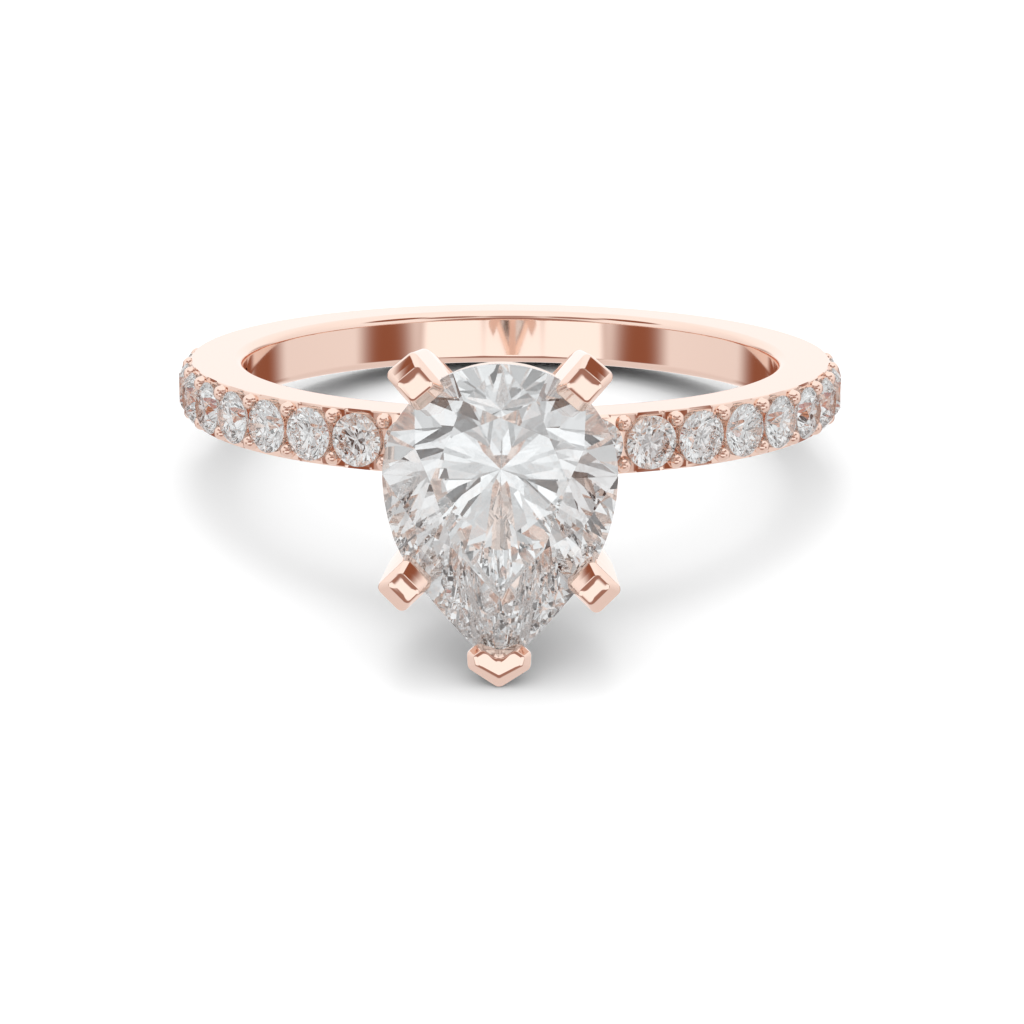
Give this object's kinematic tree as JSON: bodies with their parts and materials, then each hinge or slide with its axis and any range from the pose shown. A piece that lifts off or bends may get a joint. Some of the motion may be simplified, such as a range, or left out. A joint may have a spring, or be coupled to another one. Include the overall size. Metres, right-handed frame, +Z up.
{
  "type": "engagement ring",
  "caption": "Rose-gold engagement ring lying on its side: pear-cut stone in square claws and a V claw, small round stones along the front of the band.",
  "frame": {"origin": "centre of the finger hole, midway through the band's width", "axes": "the ring lies as on a table: +Z up from the table, -Y towards the big stone, +X to the right of someone facing the stone"},
  "size_m": [0.0212, 0.0258, 0.0097],
  "materials": {
    "rose_gold": "polished 14 carat rose gold",
    "diamond": "clear, brilliant cut, polished"
  },
  "bodies": {
    "root": {"band": "rose_gold", "head_base": "rose_gold", "gallery_rail": "rose_gold", "claw_upper_left": "rose_gold", "claw_upper_right": "rose_gold", "claw_lower_left": "rose_gold", "claw_lower_right": "rose_gold", "claw_v": "rose_gold", "centre_stone": "diamond", "small_stone_left_1": "diamond", "small_stone_left_2": "diamond", "small_stone_left_3": "diamond", "small_stone_left_4": "diamond", "small_stone_left_5": "diamond", "small_stone_left_6": "diamond", "small_stone_left_7": "diamond", "small_stone_left_8": "diamond", "small_stone_left_9": "diamond", "small_stone_right_1": "diamond", "small_stone_right_2": "diamond", "small_stone_right_3": "diamond", "small_stone_right_4": "diamond", "small_stone_right_5": "diamond", "small_stone_right_6": "diamond", "small_stone_right_7": "diamond", "small_stone_right_8": "diamond", "small_stone_right_9": "diamond"}
  },
  "joints": []
}
